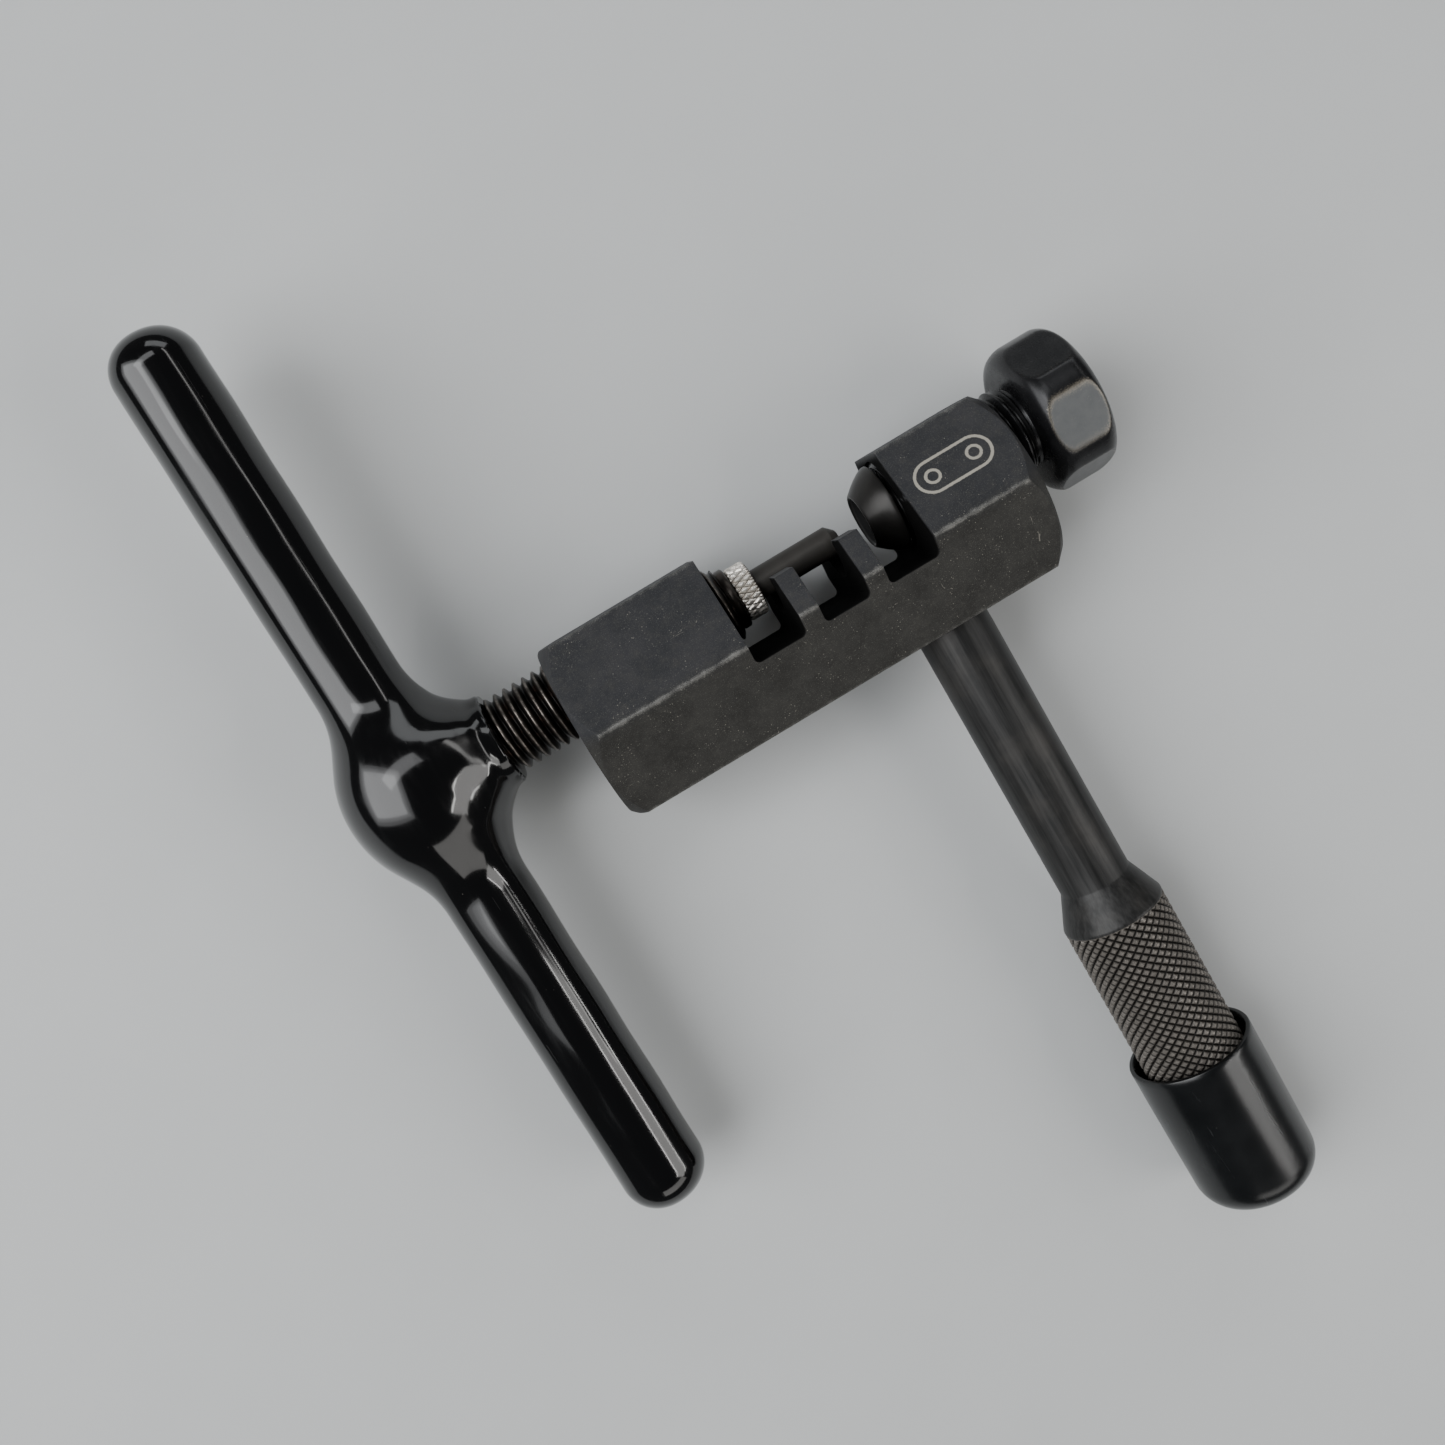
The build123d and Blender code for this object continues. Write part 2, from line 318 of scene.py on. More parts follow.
def link_mark(n):
    """A plain chain link pictogram, 1 where it is drawn, on the facet above the anvil bore."""
    x, y, z = n.axes()
    centre_x = (body_hi.x + cup_lo.x) / 2 + 1.2 * MM
    along = n.math("ABSOLUTE", n.math("MULTIPLY", n.math("SUBTRACT", x, centre_x), 1 / MM))
    # distance up the facet, whose normal leans 60 degrees from +Y, from its middle line
    from_centre = n.math("SUBTRACT", y, bar_centre_y)
    rise = n.math("SUBTRACT", n.math("MULTIPLY", z, 0.5), n.math("MULTIPLY", from_centre, sqrt(3) / 2))
    rise = n.math("MULTIPLY", rise, 1 / MM)
    pin = n.math("SUBTRACT", along, 2.3)
    beyond = n.math("MAXIMUM", pin, 0.0)
    square = n.math("MULTIPLY", rise, rise)
    plate = n.math("SQRT", n.math("ADD", n.math("MULTIPLY", beyond, beyond), square))
    hole = n.math("SQRT", n.math("ADD", n.math("MULTIPLY", pin, pin), square))
    plate_line = n.math("ABSOLUTE", n.math("SUBTRACT", plate, 1.75))
    hole_line = n.math("ABSOLUTE", n.math("SUBTRACT", hole, 0.7))
    line = n.math("MINIMUM", plate_line, hole_line)
    ragged = n.math("MULTIPLY", n.math("SUBTRACT", n.noise(6.0, 2.0), 0.5), 0.12)
    drawn = n.band(n.math("ADD", line, ragged), 0.19, 0.11)
    # only on that facet, which lies half the bar's flats from its centre
    level = n.math(
        "ADD",
        n.math("MULTIPLY", from_centre, 0.5),
        n.math("MULTIPLY", z, sqrt(3) / 2),
    )
    on_facet = n.math("GREATER_THAN", level, bar_flats / 2 - 0.03 * MM)
    return n.math("MULTIPLY", drawn, on_facet)


def body_finish():
    """Black oxide on a steel bar: fine mottled grain, bright specks and nicks, worn edges, an etched mark.

    The depth attribute is 1 well inside a slot, where the colour is painted near-black, matt and
    non-metallic as painted shade.
    """
    n = Nodes("body_black_oxide")
    y = n.axes()[1]
    depth = n.attribute("depth")
    wear = n.attribute("wear")
    grain = n.noise(9.0, 4.0, 0.7)
    cloud = n.noise(0.22, 5.0, 0.65)
    blotch = n.noise(1.1, 5.0, 0.7)
    # the lower facets are browner and more handled than the upper ones
    lower = n.band(y, bar_centre_y + 1 * MM, bar_centre_y - 1 * MM)
    cool = n.tint(n.band(cloud, 0.35, 0.68), (0.033, 0.034, 0.037), (0.044, 0.044, 0.047))
    warm = n.tint(n.band(cloud, 0.35, 0.68), (0.031, 0.0302, 0.0284), (0.044, 0.043, 0.040))
    colour = n.tint(lower, cool, warm)
    colour = n.tint(n.math("MULTIPLY", n.band(blotch, 0.42, 0.75), 0.42), colour, (0.062, 0.060, 0.055))
    colour = n.tint(n.math("MULTIPLY", n.band(grain, 0.52, 0.70), 0.50), colour, (0.115, 0.112, 0.105))
    handled = n.math("ADD", n.noise(0.33, 3.0), n.math("MULTIPLY", lower, 0.07))
    patches = n.band(handled, 0.50, 0.64)
    specks = n.math("MULTIPLY", n.band(n.cells(2.3), 0.15, 0.06), patches)
    dust = n.math("MULTIPLY", n.band(n.cells(5.5), 0.20, 0.08), n.blend(patches, 0.25, 0.8))
    nick = n.band(n.noise(1.0, 3.0, 0.5, stretch=(0.9, 2.8, 2.8), distortion=2.6), 0.712, 0.735)
    scuff = n.band(n.noise(1.0, 3.0, 0.5, stretch=(2.6, 0.7, 0.7), distortion=2.2), 0.715, 0.735)
    lines = n.math("MULTIPLY", n.math("MAXIMUM", nick, scuff), patches)
    light = n.math("MAXIMUM", n.math("MULTIPLY", specks, 0.7), n.math("MULTIPLY", dust, 0.35))
    light = n.math("MAXIMUM", light, n.math("MULTIPLY", lines, 0.5))
    colour = n.tint(light, colour, (0.34, 0.32, 0.28))
    # worn edges are a haze of fine bright points, thickest on the edge itself
    fine = n.math("MULTIPLY", n.noise(12.0, 3.0, 0.7), 1.1)
    coarse = n.math("MULTIPLY", n.noise(0.9, 3.0), 0.7)
    bright = n.band(n.math("ADD", n.math("ADD", wear, fine), coarse), 1.42, 1.95)
    colour = n.tint(n.math("MULTIPLY", bright, 0.85), colour, (0.25, 0.245, 0.23))
    # painted shade: well inside the slots the colour goes near-black, and below it turns matt and
    # non-metallic
    colour = n.tint(depth, colour, (0.0012, 0.0011, 0.0010))
    mark = link_mark(n)
    colour = n.tint(mark, colour, (0.34, 0.32, 0.275))
    roughness = n.math("SUBTRACT", n.blend(grain, 0.46, 0.62), n.math("MULTIPLY", bright, 0.12))
    metallic = n.blend(n.math("MAXIMUM", bright, light), 0.35, 0.85)
    mark_and_slot_shade = n.math("MAXIMUM", n.math("MULTIPLY", mark, 0.3), depth)
    metallic = n.math("SUBTRACT", metallic, mark_and_slot_shade, clamp=True)
    roughness = n.blend(depth, roughness, 0.95)
    relief = n.math("ADD", grain, n.math("MULTIPLY", lines, -0.8))
    return n.finish(colour, roughness, metallic, n.bump(relief, 0.45, 0.02 * MM), Specular_IOR_Level=0.08)


def vinyl_finish():
    """Dipped vinyl: deep gloss with a faint orange peel, dust specks and a few hairline scuffs."""
    n = Nodes("dipped_vinyl")
    dust = n.math("MULTIPLY", n.band(n.cells(0.9), 0.07, 0.03), n.band(n.noise(0.35, 2.0), 0.55, 0.66))
    hair = n.band(n.noise(1.0, 2.0, 0.4, stretch=(2.2, 0.10, 2.2), distortion=0.8), 0.755, 0.77)
    colour = n.tint(n.noise(0.1, 3.0), (0.0005, 0.0005, 0.0007), (0.0012, 0.0012, 0.0015))
    colour = n.tint(n.math("MULTIPLY", dust, 0.45), colour, (0.16, 0.15, 0.13))
    smear = n.band(n.noise(1.0, 4.0, 0.6, stretch=(1.1, 0.10, 1.1)), 0.45, 0.72)
    roughness = n.blend(smear, 0.10, 0.17)
    roughness = n.math("ADD", roughness, n.math("MULTIPLY", n.math("MAXIMUM", dust, hair), 0.22))
    peel = n.noise(0.30, 1.0, 0.4)
    normal = n.bump(peel, 0.05, 0.04 * MM)
    return n.finish(colour, roughness, 0.0, normal, IOR=1.52, Coat_Weight=0.25, Coat_Roughness=0.04)


def thread_finish(name, root, crest, rust, sheen):
    """Rolled thread: darker in the roots, rubbed crests; the cavity attribute is 1 at a crest."""
    n = Nodes(name)
    high = n.attribute("cavity")
    patch = n.noise(0.9, 4.0, 0.65)
    colour = n.tint(n.band(high, 0.35, 1.0), root, crest)
    colour = n.tint(n.math("MULTIPLY", n.band(patch, 0.52, 0.72), 0.45), colour, rust)
    rubbed = n.math("MULTIPLY", n.band(high, 0.88, 1.0), n.band(n.noise(1.6, 4.0, 0.7), 0.42, 0.62))
    colour = n.tint(n.math("MULTIPLY", rubbed, 0.7), colour, sheen)
    roughness = n.blend(patch, 0.24, 0.42)
    return n.finish(colour, roughness, 0.85, n.bump(n.noise(5.0, 4.0), 0.2, 0.02 * MM))


def nickel_finish():
    """Nickel plate, warm on the knurl's flats, their near-white diffuse colour partly painted reflection of
    bright windows, and darker in its grooves.
    """
    n = Nodes("nickel_knurl")
    high = n.attribute("cavity")
    # painted reflection: the near-white flats under part metallic add diffuse brightness for reflected
    # windows, on top of the nickel's own brightness
    colour = n.tint(n.band(high, 0.05, 0.45), (0.07, 0.053, 0.040), (1.0, 0.95, 0.87))
    stain = n.math("MULTIPLY", n.band(n.noise(1.2, 4.0), 0.5, 0.75), 0.2)
    colour = n.tint(stain, colour, (0.70, 0.58, 0.47))
    roughness = n.blend(n.noise(4.0, 3.0), 0.24, 0.40)
    return n.finish(colour, roughness, 0.7, n.bump(n.noise(8.0, 3.0), 0.2, 0.01 * MM))


def dark_pin_finish():
    """Hardened pin: matt brown-grey steel with fine turning rings and a rubbed tip."""
    n = Nodes("pin_steel")
    x = n.axes()[0]
    rings = n.math("SINE", n.math("MULTIPLY", x, 2 * pi / (0.16 * MM)))
    patch = n.noise(0.6, 4.0, 0.6)
    colour = n.tint(patch, (0.030, 0.0275, 0.0245), (0.052, 0.048, 0.043))
    tip = n.band(x, pin_hi.x - 1.3 * MM, pin_hi.x)
    colour = n.tint(n.math("MULTIPLY", tip, 0.5), colour, (0.15, 0.145, 0.135))
    roughness = n.blend(patch, 0.42, 0.55)
    return n.finish(colour, roughness, 0.5, n.bump(rings, 0.10, 0.01 * MM))


def bolt_finish():
    """Semi-gloss black oxide on the anvil bolt, its flats painted grey as painted light, most on the flat
    facing the light, and rubbed at their rims.
    """
    n = Nodes("bolt_black_oxide")
    high = n.attribute("cavity")
    wear = n.attribute("wear")
    flat = n.attribute("flat")
    cloud = n.noise(0.3, 4.0, 0.6)
    colour = n.tint(n.band(cloud, 0.35, 0.7), (0.010, 0.010, 0.011), (0.020, 0.020, 0.021))
    painted_light_grey = n.tint(n.noise(0.7, 6.0, 0.75), (0.050, 0.054, 0.057), (0.098, 0.101, 0.102))
    # painted light: the flat attribute turns the flats grey, matt and less metallic, most on the flat that
    # faces the light
    colour = n.tint(flat, colour, painted_light_grey)
    colour = n.tint(n.band(high, 0.6, 0.0), colour, (0.006, 0.006, 0.006))
    ragged = n.math("ADD", wear, n.math("MULTIPLY", n.math("SUBTRACT", n.noise(11.0, 3.0, 0.7), 0.5), 2.6))
    rim = n.math("MULTIPLY", n.band(ragged, 0.70, 1.15), n.band(wear, 0.05, 0.4))
    side = n.band(n.noise(0.16, 2.0), 0.42, 0.60)
    colour = n.tint(n.math("MULTIPLY", rim, n.blend(side, 0.35, 0.9)), colour, (0.22, 0.195, 0.155))
    specks = n.math("MULTIPLY", n.band(n.cells(3.6), 0.14, 0.06), n.band(n.noise(0.5, 2.0), 0.52, 0.62))
    colour = n.tint(n.math("MULTIPLY", specks, 0.5), colour, (0.22, 0.21, 0.2))
    roughness = n.math("ADD", n.blend(n.noise(1.6, 5.0, 0.65), 0.20, 0.32), n.math("MULTIPLY", flat, 0.17))
    metallic = n.blend(flat, 0.5, 0.1)
    return n.finish(colour, roughness, metallic, n.bump(n.noise(4.5, 4.0), 0.22, 0.02 * MM))


def cup_finish():
    """Turned and blackened cup, its cone showing fine tool rings, its bore painted near-black as painted
    shade.
    """
    n = Nodes("cup_black_oxide")
    x, y, z = n.axes()
    rings = n.math("SINE", n.math("MULTIPLY", x, 2 * pi / (0.13 * MM)))
    patch = n.noise(0.7, 4.0)
    colour = n.tint(patch, (0.012, 0.0115, 0.011), (0.030, 0.028, 0.026))
    # painted shade: within 2.6 mm of the axis the bore is near-black, matt and non-metallic
    off_axis = n.math("SQRT", n.math("ADD", n.math("MULTIPLY", y, y), n.math("MULTIPLY", z, z)))
    inside = n.band(off_axis, 2.62 * MM, 2.52 * MM)
    colour = n.tint(inside, colour, (0.002, 0.002, 0.002))
    roughness = n.blend(inside, n.blend(patch, 0.26, 0.38), 0.85)
    metallic = n.blend(inside, 0.6, 0.0)
    return n.finish(colour, roughness, metallic, n.bump(rings, 0.16, 0.012 * MM))


def lever_finish():
    """Satin black oxide: soft lengthwise streaks on the rod, brownish flats on the knurl."""
    n = Nodes("lever_black_oxide")
    high = n.attribute("cavity")
    knurled = n.attribute("knurled")
    streak = n.noise(1.0, 5.0, 0.65, stretch=(2.6, 0.10, 2.6))
    cloud = n.noise(0.2, 4.0, 0.6)
    colour = n.tint(n.band(streak, 0.3, 0.75), (0.014, 0.014, 0.0138), (0.036, 0.0355, 0.035))
    colour = n.tint(n.math("MULTIPLY", n.band(cloud, 0.45, 0.75), 0.35), colour, (0.058, 0.053, 0.048))
    valley = n.tint(n.noise(0.8, 3.0), (0.006, 0.005, 0.0045), (0.014, 0.012, 0.010))
    point = n.tint(n.noise(1.4, 5.0, 0.7), (0.092, 0.082, 0.072), (0.190, 0.173, 0.155))
    diamond = n.tint(n.band(high, 0.15, 0.85), valley, point)
    rubbed = n.math("MULTIPLY", n.band(high, 0.9, 1.0), n.band(n.noise(2.6, 4.0, 0.7), 0.55, 0.72))
    diamond = n.tint(n.math("MULTIPLY", rubbed, 0.5), diamond, (0.32, 0.30, 0.27))
    colour = n.tint(knurled, colour, diamond)
    fine_rings = n.math("SINE", n.math("MULTIPLY", n.axes()[1], 2 * pi / (0.11 * MM)))
    roughness = n.math("ADD", n.blend(streak, 0.34, 0.50), n.math("MULTIPLY", knurled, 0.04))
    return n.finish(colour, roughness, 0.6, n.bump(fine_rings, 0.08, 0.01 * MM))


def rubber_finish():
    """Blue-black rubber: satin skin, faint moulding grain and pale scuffs near the rounded end."""
    n = Nodes("cap_rubber")
    y = n.axes()[1]
    grain = n.noise(3.2, 4.0, 0.6)
    cloud = n.noise(0.14, 4.0, 0.6)
    colour = n.tint(n.band(cloud, 0.3, 0.7), (0.0012, 0.0015, 0.0018), (0.0030, 0.0035, 0.0040))
    scuffs = n.band(n.noise(1.0, 4.0, 0.65, stretch=(0.9, 0.16, 0.9), distortion=0.8), 0.62, 0.74)
    ends = n.band(y, cap_lo.y + 6 * MM, cap_lo.y + 1 * MM)
    colour = n.tint(n.math("MULTIPLY", scuffs, n.blend(ends, 0.06, 0.35)), colour, (0.10, 0.105, 0.11))
    dust = n.math("MULTIPLY", n.band(n.cells(1.3), 0.09, 0.04), n.band(n.noise(0.5, 2.0), 0.58, 0.68))
    colour = n.tint(n.math("MULTIPLY", dust, 0.5), colour, (0.25, 0.24, 0.22))
    roughness = n.math("ADD", n.blend(cloud, 0.19, 0.30), n.math("MULTIPLY", scuffs, 0.15))
    return n.finish(colour, roughness, 0.0, n.bump(grain, 0.09, 0.03 * MM), IOR=1.5)


def bar_finish():
    """Plain drawn steel of the cross bar, under the coating."""
    n = Nodes("bar_steel")
    streak = n.noise(1.0, 4.0, 0.6, stretch=(2.0, 0.06, 2.0))
    colour = n.tint(streak, (0.25, 0.25, 0.26), (0.42, 0.42, 0.43))
    return n.finish(colour, n.blend(streak, 0.3, 0.5), 1.0)


# ---------------------------------------------------------------- pieces


def set_attribute(obj, name, values):
    layer = obj.data.attributes.new(name, "FLOAT", "POINT")
    layer.data.foreach_set("value", np.asarray(values, np.float32))


def coordinates(obj):
    flat = np.zeros(len(obj.data.vertices) * 3)
    obj.data.vertices.foreach_get("co", flat)
    return flat.reshape(-1, 3)


def dress(obj, body, node, material):
    """Material, body and the CAD node that a piece stands for."""
    obj.data.materials.clear()
    obj.data.materials.append(material)
    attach(obj, body)
    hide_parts(node)
    return obj


def fine_copy(node, name, bevel, longest):
    """A CAD node's surface with its sharp edges broken, cut fine enough to carry a wear attribute."""
    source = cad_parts[node]
    mesh = source.data.copy()
    obj = bpy.data.objects.new(name, mesh)
    bpy.context.scene.collection.objects.link(obj)
    mesh.materials.clear()
    work = bmesh.new()
    work.from_mesh(mesh)
    bmesh.ops.remove_doubles(work, verts=work.verts, dist=1e-7)
    bmesh.ops.dissolve_limit(work, angle_limit=radians(0.4), verts=work.verts, edges=work.edges)
    sharp = [e for e in work.edges if len(e.link_faces) == 2 and e.calc_face_angle(0) > radians(28)]
    tree = kdtree.KDTree(sum(int(e.calc_length() / (0.3 * MM)) + 2 for e in sharp))
    spot = 0
    for e in sharp:
        steps = int(e.calc_length() / (0.3 * MM)) + 1
        for k in range(steps + 1):
            tree.insert(e.verts[0].co.lerp(e.verts[1].co, k / steps), spot)
            spot += 1
    tree.balance()
    bmesh.ops.bevel(
        work, geom=sharp, offset=bevel, segments=2, profile=0.5, affect="EDGES", clamp_overlap=True
    )
    bmesh.ops.triangulate(work, faces=work.faces)
    for _ in range(12):
        long_edges = [e for e in work.edges if e.calc_length() > longest]
        if not long_edges:
            break
        bmesh.ops.subdivide_edges(work, edges=long_edges, cuts=1)
        bmesh.ops.triangulate(work, faces=[f for f in work.faces if len(f.verts) > 3])
    work.to_mesh(mesh)
    work.free()
    return obj, tree


def build_body():
    obj, tree = fine_copy("tool_body", "hex_body", 0.09 * MM, 0.8 * MM)
    points = coordinates(obj)
    near = np.array([tree.find(p)[2] for p in points]) / MM
    rims = 0.42 * np.exp(-((near / 0.16) ** 2))
    # the bar's long edges are rounded, and the upper ones are the most worn
    across = points[:, 1] - bar_centre_y
    corner = np.hypot(across, points[:, 2]) - bar_flats / sqrt(3)
    long_edge = 0.78 * np.exp(-(np.clip(-0.06 - corner / MM, 0, None) / 0.26) ** 1.2)
    top = 0.75 + 0.25 * np.clip(points[:, 2] / body_hi.z, 0, 1)
    # how far a point lies inside the hexagon, in mm
    inside = [bar_flats / 2 - across * cos(t) - points[:, 2] * sin(t) for t in np.arange(6) * pi / 3]
    inside = np.min(inside, axis=0) / MM
    between = (points[:, 0] > body_lo.x + 2 * MM) & (points[:, 0] < body_hi.x - 2 * MM)
    wear = np.where(inside > 0.25, 0.5 * rims, np.maximum(rims, long_edge * top))
    set_attribute(obj, "wear", wear)
    # depth masks the painted shade well inside the slots; the wall tops face the mouth and are as worn as
    # the outside, so they get none
    depth = np.clip((inside - 0.1) / 0.6, 0, 1) * between
    tops = (points[:, 1] > 0.15 * MM) & (np.abs(points[:, 2]) > 3.9 * MM) & (points[:, 1] < 0.3 * MM)
    depth[tops] = 0
    set_attribute(obj, "depth", depth)
    sharpen(obj, 40)
    return dress(obj, "tool", "tool_body", body_finish())


def radius_about_x(points):
    return np.hypot(points[:, 1], points[:, 2])


def build_driver():
    crest = 4.15 * MM
    depth = 0.62 * MM
    shoulder = driver_hi.x - 1.8 * MM
    thread = threaded_rod("thread", handle_x + 5 * MM, shoulder, crest, depth, 0.4 * MM)
    flange_x = driver_hi.x - 0.8 * MM
    nose = turned(
        "nose",
        [
            (shoulder - 2 * MM, 0.5 * MM),
            (shoulder - 2 * MM, 3.2 * MM),
            (shoulder + 0.12 * MM, 3.2 * MM),
            (shoulder + 0.25 * MM, 3.3 * MM),
            (flange_x - 0.15 * MM, 3.3 * MM),
            (flange_x, 3.15 * MM),
            (flange_x, 2.15 * MM),
            (driver_hi.x, 2.15 * MM),
            (driver_hi.x, 0.5 * MM),
        ],
        72,
        along_x,
    )
    head = turned(
        "head",
        [
            (handle_x - 6.2 * MM * cos(pi * k / 10), 6.2 * MM * sin(pi * k / 10))
            for k in range(1, 10)
        ],
        48,
        along_x,
    )
    obj = joined("driver_thread", thread, nose, head)
    points = coordinates(obj)
    radius = radius_about_x(points)
    high = np.clip((radius - (crest - depth)) / depth, 0, 1)
    high[points[:, 0] > shoulder + 0.01 * MM] = 0.7
    set_attribute(obj, "cavity", high)
    sharpen(obj, 50)
    material = thread_finish(
        "screw_dark_steel",
        root=(0.006, 0.005, 0.0045),
        crest=(0.070, 0.061, 0.054),
        rust=(0.055, 0.028, 0.018),
        sheen=(0.24, 0.215, 0.19),
    )
    return dress(obj, "driver", "driver_screw", material)


def smooth_min(a, b, reach):
    mix = np.clip(0.5 + 0.5 * (b - a) / reach, 0, 1)
    return b + (a - b) * mix - reach * mix * (1 - mix)


ARM_R = 9.25 / 2
ARM_END_R = 3.9
HALF_SPAN = (coat_hi.y - coat_lo.y) / 2 / MM
HUB_R = (coat_hi.z - coat_lo.z) / 2 / MM
NECK_END = (coat_hi.x - handle_x) / MM
HUB_SHIFT = -0.5  # the ball sits a little towards the lever's side
HUB_SQUEEZE = 0.80  # of distances along the bar, so the ball is longer that way
LIP_R = 4.8
LUMPS = (  # where the skin has small lumps, from the middle of the bar
    (5.6, 3.4, 5.0),
    (7.4, -2.2, 5.6),
    (6.3, 0.4, 6.6),
    (5.2, -4.6, 4.4),
    (8.0, 2.6, 4.6),
    (6.6, -0.6, -6.4),
)


def rounded_corner(side, end, radius):
    """Distance to the region where side and end are both negative, its corner rounded."""
    beyond = np.hypot(np.maximum(side + radius, 0), np.maximum(end + radius, 0))
    return np.minimum(np.maximum(side, end) + radius, 0) + beyond - radius


def handle_field(points):
    """Signed distance, in mm, to the dipped T-handle; points are in mm from the cross bar's middle."""
    x, y, z = points.T
    arms = rounded_corner(np.hypot(x, z) - ARM_R, np.abs(y) - HALF_SPAN, ARM_END_R)
    hub = (np.sqrt(x**2 + z**2 + (HUB_SQUEEZE * (y - HUB_SHIFT)) ** 2) - HUB_R + 0.06) * 0.9
    back = np.clip(NECK_END - x, 0, 6)
    taper = LIP_R + 0.34 * back - 0.010 * back**2
    flare = 0.16 * np.exp(-((back / 0.5) ** 2)) - 0.12 * np.exp(-(((back - 1.3) / 0.7) ** 2))
    neck = rounded_corner(np.hypot(y, z) - taper - flare, np.maximum(x - NECK_END, -x), 0.2)
    whole = smooth_min(smooth_min(hub, arms, 2.4), neck, 1.9)
    # the skin sagged a little as it set: long waves, and a few lumps where the neck leaves the hub
    whole = whole + 0.035 * np.sin(y * 0.55 + 1.3 * np.sin(x * 0.5)) * np.cos(z * 0.47 + 0.6)
    for spot in LUMPS:
        near = ((points - np.array(spot)) ** 2).sum(1)
        whole = whole - 0.11 * np.exp(-near / 1.5**2)
    return whole


def build_coating():
    """The dip coat's skin: a voxel mesh of its bulk, drawn onto the smooth field of the handle."""
    bulk = bmesh.new()
    cylinder = Matrix.Rotation(pi / 2, 4, "X")
    bmesh.ops.create_cone(
        bulk,
        cap_ends=True,
        segments=48,
        radius1=ARM_R,
        radius2=ARM_R,
        depth=2 * HALF_SPAN - 1,
        matrix=cylinder,
    )
    bmesh.ops.create_icosphere(bulk, subdivisions=4, radius=HUB_R)
    bmesh.ops.create_cone(
        bulk,
        cap_ends=True,
        segments=48,
        radius1=7,
        radius2=LIP_R,
        depth=NECK_END,
        matrix=Matrix.Translation((NECK_END / 2, 0, 0)) @ Matrix.Rotation(pi / 2, 4, "Y"),
    )
    mesh = bpy.data.meshes.new("vinyl_coat")
    bulk.to_mesh(mesh)
    bulk.free()
    obj = bpy.data.objects.new("vinyl_coat", mesh)
    bpy.context.scene.collection.objects.link(obj)
    voxels = obj.modifiers.new("voxels", "REMESH")
    voxels.mode = "VOXEL"
    voxels.voxel_size = 0.5
    finer = obj.modifiers.new("finer", "SUBSURF")
    finer.levels = 1
    evaluated = obj.evaluated_get(bpy.context.evaluated_depsgraph_get())
    dense = bpy.data.meshes.new_from_object(evaluated)
    obj.modifiers.clear()
    obj.data = dense
    points = coordinates(obj)
    step = 0.02
    for _ in range(14):
        here = handle_field(points)
        slope = np.stack(
            [
                (handle_field(points + offset) - handle_field(points - offset)) / (2 * step)
                for offset in np.eye(3) * step
            ],
            axis=-1,
        )
        size = np.maximum((slope**2).sum(1), 0.15)
        points = points - slope * np.clip(here / size, -0.6, 0.6)[:, None]
    points = points * MM + np.array([handle_x, 0, 0])
    obj.data.vertices.foreach_set("co", points.ravel())
    for polygon in obj.data.polygons:
        polygon.use_smooth = True
    obj.data.update()
    normals = slope / np.linalg.norm(slope, axis=1)[:, None]
    obj.data.normals_split_custom_set_from_vertices([tuple(v) for v in normals])
    return dress(obj, "driver", "handle_coating", vinyl_finish())


def diamond(along, turn, around, lead, depth, steep=1.7):
    """Diamond knurl: two crossing sets of V grooves between flat-topped points."""
    first = (turn * around / (2 * pi) + along / lead) % 1.0
    second = (turn * around / (2 * pi) - along / lead) % 1.0
    wedge = np.minimum(1 - np.abs(2 * first - 1), 1 - np.abs(2 * second - 1))
    return depth * np.minimum(wedge * steep, 1.0)


def build_collar():
    crest = (collar_hi.y - collar_lo.y) / 2
    bore, lip, hole = 2.16 * MM, 0.5 * MM, 1.66 * MM
    start, end = collar_lo.x, collar_hi.x
    around, lead, depth = 26, 1.7 * MM, 0.2 * MM
    steps = 24
    rows = [(start, bore), (start, crest - 0.45 * MM), (start + 0.08 * MM, crest - 0.3 * MM)]
    first_knurl = start + 0.14 * MM
    span = end - start - 0.28 * MM
    rows += [(first_knurl + span * k / steps, crest - depth) for k in range(steps + 1)]
    rows += [(end - 0.08 * MM, crest - 0.3 * MM), (end, crest - 0.45 * MM), (end, hole)]
    rows += [(end - lip, hole), (end - lip, bore)]

    def relief(along, radius, turn):
        inside = (along > start + 0.1 * MM) & (along < end - 0.1 * MM) & (radius > crest - 0.29 * MM)
        ends = np.clip(np.minimum(along - start, end - along) / (0.3 * MM), 0, 1)
        return np.where(inside, diamond(along - start, turn, around, lead, depth, 1.9) * ends, 0)

    obj = turned("nickel_collar", rows, around * 10, along_x, ring=True, height=relief)
    radius = radius_about_x(coordinates(obj))
    set_attribute(obj, "cavity", np.clip((radius - crest + depth) / depth, 0, 1))
    sharpen(obj, 32)
    return dress(obj, "driver", "pin_collar", nickel_finish())


